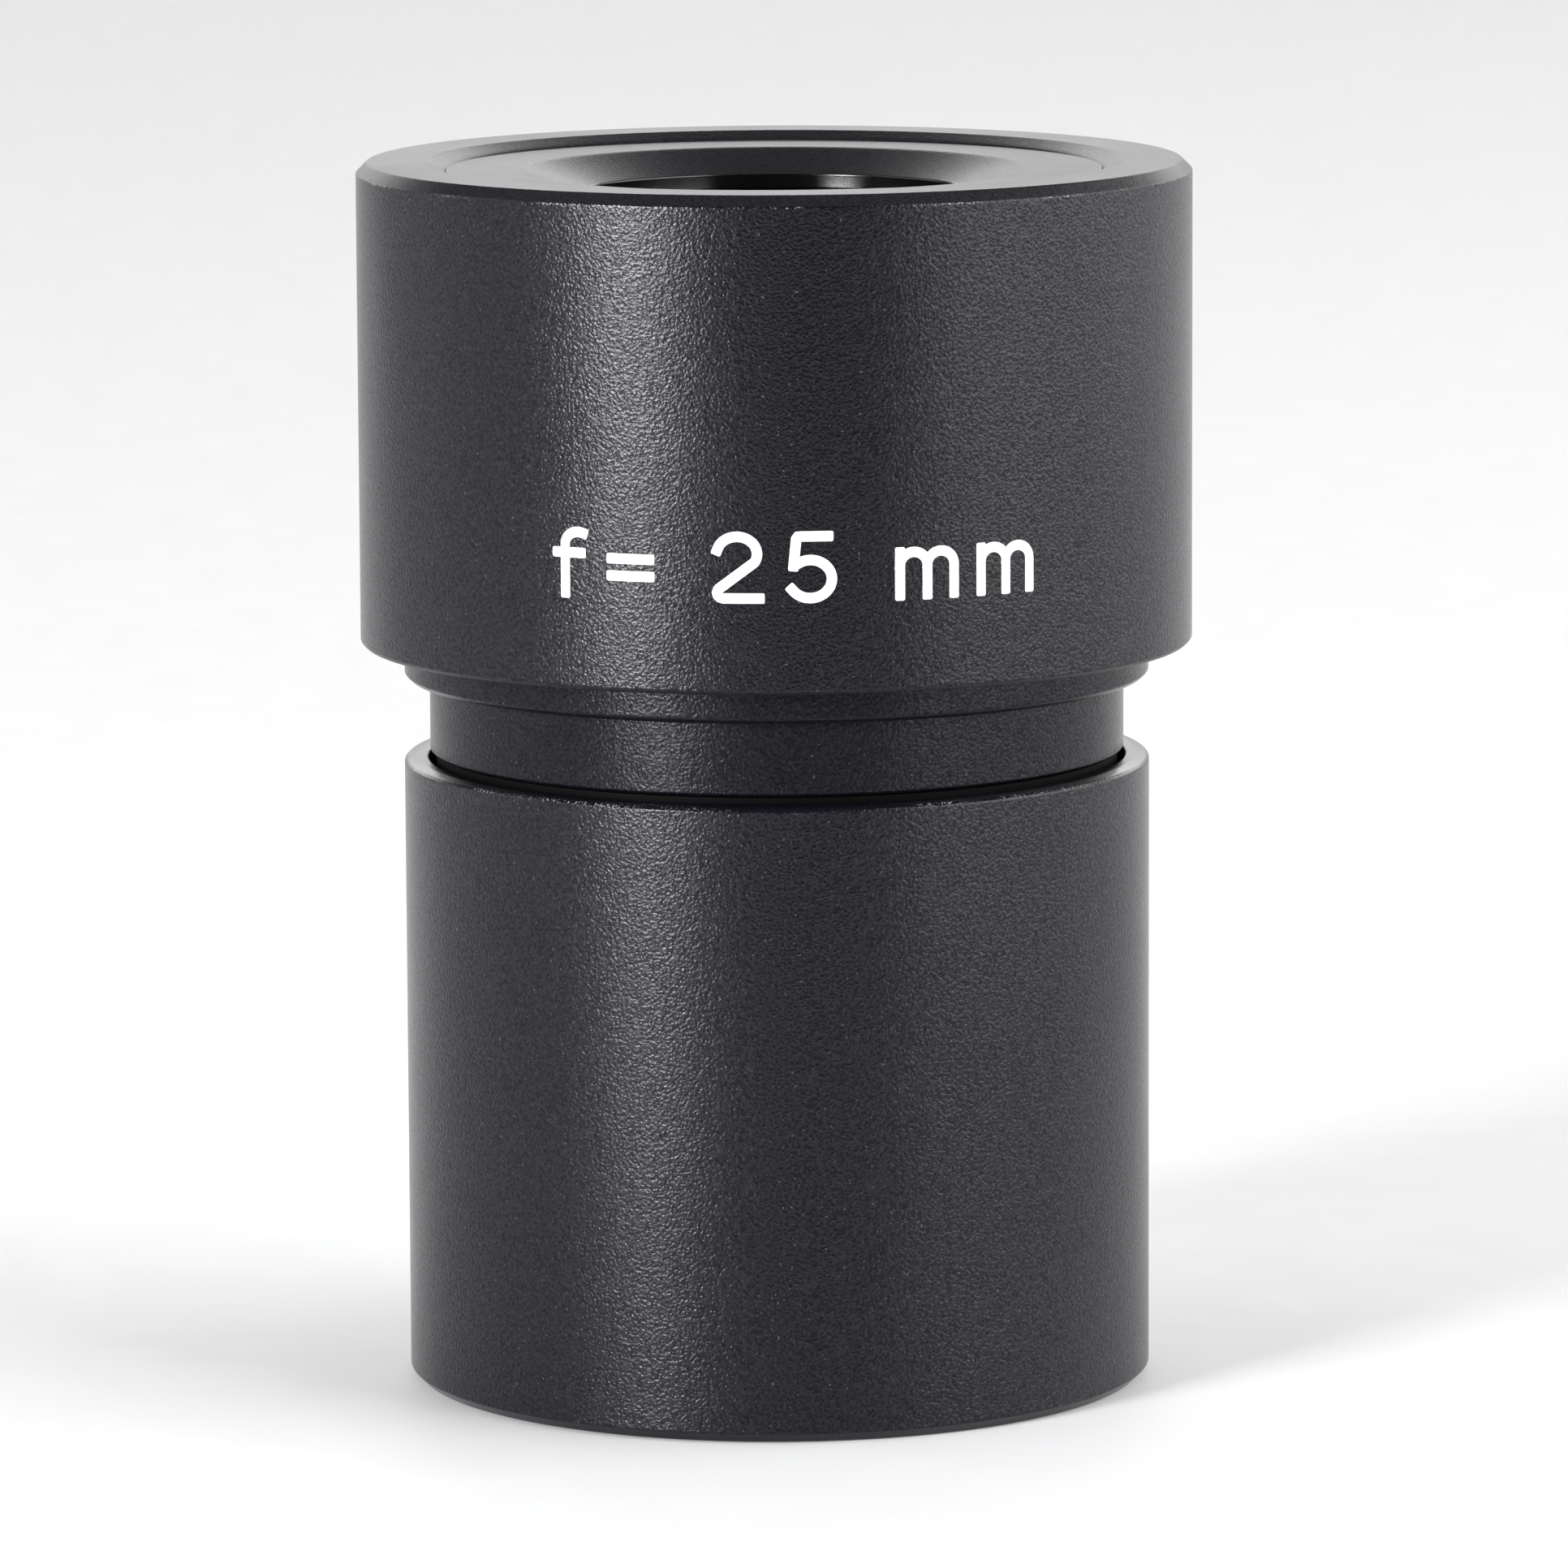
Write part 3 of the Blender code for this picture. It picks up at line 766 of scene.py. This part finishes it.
def stroke_mesh(bm, line, radius_at):
    """One closed stroke of the marking with rounded corners, wrapped on the head's cylinder.

    radius_at turns (across, along, rise) on the flat drawing into a point in space.
    """
    half = MARK_STROKE / 2
    # Across in half strokes, and height in sunk or proud depths.
    section = ((-1.0, -1.0), (-1.0, 0.55), (-0.8, 1.0), (0.0, 1.25), (0.8, 1.0), (1.0, 0.55), (1.0, -1.0))
    rises = [MARK_SUNK * rise if rise < 0 else MARK_PROUD * rise for _, rise in section]
    end = []
    for degrees in range(75, -1, -15):
        tilt = math.radians(degrees)
        reach = half - MARK_CORNER + MARK_CORNER * math.sin(tilt)
        width = 1 - (MARK_CORNER - MARK_CORNER * math.cos(tilt)) / half
        end.append((reach, width))
    rings = []
    for k, point in enumerate(line):
        a = Vector(line[max(0, k - 1)])
        b = Vector(line[min(len(line) - 1, k + 1)])
        along = (b - a).normalized()
        side = Vector((-along.y, along.x))
        here = Vector(point)
        if k == 0:
            rings += [(here - along * reach, side * width) for reach, width in end]
        rings.append((here, side))
        if k == len(line) - 1:
            rings += [(here + along * reach, side * width) for reach, width in reversed(end)]
    columns = []
    for centre, side in rings:
        column = []
        for (across, _), rise in zip(section, rises):
            flat = centre + side * half * across
            column.append(bm.verts.new(radius_at(flat.x, flat.y, rise)))
        columns.append(column)
    size = len(section)
    for left, right in zip(columns, columns[1:]):
        for i in range(size):
            j = (i + 1) % size
            bm.faces.new((left[i], left[j], right[j], right[i]))
    bm.faces.new(columns[0])
    bm.faces.new(list(reversed(columns[-1])))


def build_marking(look):
    """A focal length in white strokes, near the head's lower edge."""
    head_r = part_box("head_shell")[1].x
    words = ((glyph_f(), glyph_equals()), (glyph_two(), glyph_five()), (glyph_m(), glyph_m()))
    letters = []
    x = 0.0
    for number, word in enumerate(words):
        for width, strokes in word:
            letters.append((x, strokes))
            x += width + MARK_GAP
        if number < len(words) - 1:
            x += MARK_SPACE
    total = (x - MARK_GAP) * MARK_HEIGHT
    tall = MARK_HEIGHT - MARK_STROKE

    def on_head(flat_x, flat_y, rise):
        angle = (flat_x - total / 2) / head_r + MARK_MIDDLE
        radius = head_r + rise
        return (radius * math.sin(angle), -radius * math.cos(angle), MARK_BOTTOM + flat_y)

    for number, (start, strokes) in enumerate(letters):
        glyph = None
        for stroke in strokes:
            line = [((start + px) * MARK_HEIGHT, MARK_STROKE / 2 + py * tall) for px, py in stroke]
            bm = bmesh.new()
            stroke_mesh(bm, evenly(line, MARK_STEP), on_head)
            part = to_object(f"marking_{number}", bm, [look])
            if glyph is None:
                glyph = part
            else:
                apply_boolean(glyph, part, "UNION")
        place(glyph, "head", "marking_white")


# ---------------------------------------------------------------- studio


def build_floor():
    """Pale floor that bends up into a wall far behind the object."""
    s = Shader("pale_floor")
    grain = s.noise(0.004, detail=3)
    s.set(base_color=s.blend(s.noise(0.25, detail=3), (0.84, 0.845, 0.855), (0.87, 0.872, 0.88)))
    s.set(roughness=s.spread(grain, 0.3, 0.7, 0.55, 0.65))
    profile = [(-FLOOR_HALF, 0.0)]
    for degrees in range(0, 91, 6):
        angle = math.radians(degrees)
        profile.append((FLOOR_HALF + FLOOR_BEND * math.sin(angle), FLOOR_BEND - FLOOR_BEND * math.cos(angle)))
    profile.append((FLOOR_HALF + FLOOR_BEND, WALL_TOP))
    bm = bmesh.new()
    rows = []
    for y, z in profile:
        rows.append([bm.verts.new((x, y, z - FLOOR_DROP)) for x in (-FLOOR_HALF, FLOOR_HALF)])
    for low, high in zip(rows, rows[1:]):
        bm.faces.new((low[0], low[1], high[1], high[0]))
    to_object("studio_floor", bm, [s.material])


def softbox(name, position, aim, width, height, radiance):
    """Rectangular area light at a position, turned towards aim."""
    data = bpy.data.lights.new(name, "AREA")
    data.shape = "RECTANGLE"
    data.size = width
    data.size_y = height
    data.energy = radiance * math.pi * width * height
    lamp = bpy.data.objects.new(name, data)
    lamp.location = position
    lamp.rotation_euler = (Vector(aim) - Vector(position)).to_track_quat("-Z", "Y").to_euler()
    bpy.context.scene.collection.objects.link(lamp)


def upright_panel(name, azimuth, distance, width, low, high, radiance):
    """Softbox that stands upright at a distance and faces the optical axis."""
    angle = math.radians(azimuth)
    middle = (low + high) / 2
    position = (distance * math.sin(angle), -distance * math.cos(angle), middle)
    softbox(name, position, (0, 0, middle), width, high - low, radiance)


def build_lights():
    world = bpy.data.worlds.new("studio")
    world.use_nodes = True
    ambient = world.node_tree.nodes["Background"]
    ambient.inputs["Color"].default_value = (0.96, 0.98, 1.0, 1)
    ambient.inputs["Strength"].default_value = 0.01
    bpy.context.scene.world = world
    softbox("overhead", (0, 0.2, 1.3), (0, 0.2, 0), 2.4, 1.2, 0.55)
    for name, values in PANELS.items():
        upright_panel(name, *values)


def build_camera():
    data = bpy.data.cameras.new("camera")
    data.lens = CAMERA_LENS
    data.sensor_width = CAMERA_SENSOR
    data.clip_start = 0.01
    data.clip_end = 50
    camera = bpy.data.objects.new("camera", data)
    turn = Matrix.Rotation(-CAMERA_YAW, 4, "Z")
    tilt = Matrix.Rotation(math.pi / 2 - CAMERA_PITCH, 4, "X")
    lean = Matrix.Rotation(-CAMERA_ROLL, 4, "Z")
    camera.matrix_world = Matrix.Translation((0, -CAMERA_DISTANCE, CAMERA_HEIGHT)) @ turn @ tilt @ lean
    bpy.context.scene.collection.objects.link(camera)
    bpy.context.scene.camera = camera


def build_looks():
    """Every material, by the name that the pieces ask for."""
    head_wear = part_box("head_shell")[1].z - HEAD_WEAR_DROP
    barrel_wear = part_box("lower_barrel")[1].z - BARREL_WEAR_DROP
    edge_name = "charcoal_paint_barrel_edge"
    return {
        "paint": paint("charcoal_paint", GRAIN, worn_edge=head_wear),
        "barrel_paint": paint("charcoal_paint_barrel", GRAIN, worn_edge=barrel_wear),
        # Painted shade: the head's paint with less gloss, for the shadow under the head's overhang. Its grain
        # is also finer.
        "neck_paint_shaded": paint("charcoal_paint_neck_shaded", NECK_GRAIN, gloss=0.16),
        "smooth_paint": paint("charcoal_paint_smooth", SMOOTH_GRAIN, painted_glints=0.1, patches=0.15),
        "barrel_edge_paint": paint(edge_name, SMOOTH_GRAIN, worn_edge=barrel_wear, painted_glints=0.1, patches=0.15),
        "top_paint": paint("charcoal_paint_top", TOP_GRAIN, painted_glints=0.1, roughness=0.30, patches=0.3),
        "anodised": anodised(),
        "bore_black": soft_black("black_bore", (0.002, 0.002, 0.0022), 0.14),
        # Near black that barely reflects: painted shade for the land in the gap under the waist.
        "land_painted_shade": soft_black("land_shade_black", (0.002, 0.002, 0.002), 0.6, gloss=0.04),
        "brass": blackened_brass(),
        "nylon": soft_black("black_nylon", (0.014, 0.014, 0.014), 0.5),
        "rubber": soft_black("damping_rubber", (0.010, 0.010, 0.010), 0.62),
        "glass": coated_glass(),
        "white": white_marking(),
    }


def main():
    bpy.context.scene.view_settings.view_transform = "Standard"
    looks = build_looks()
    build_camera()
    build_head_shell(looks)
    build_eye_cap(looks)
    build_neck_ring(looks)
    build_barrel(looks)
    build_sleeve(looks)
    build_inner_pieces(looks)
    build_doublet("eye_doublet", "eye_lens_flint", "eye_lens_crown", "flint_glass", looks["glass"])
    build_doublet("field_doublet", "field_lens_crown", "field_lens_flint", "crown_glass", looks["glass"])
    build_marking(looks["white"])
    build_floor()
    build_lights()


main()
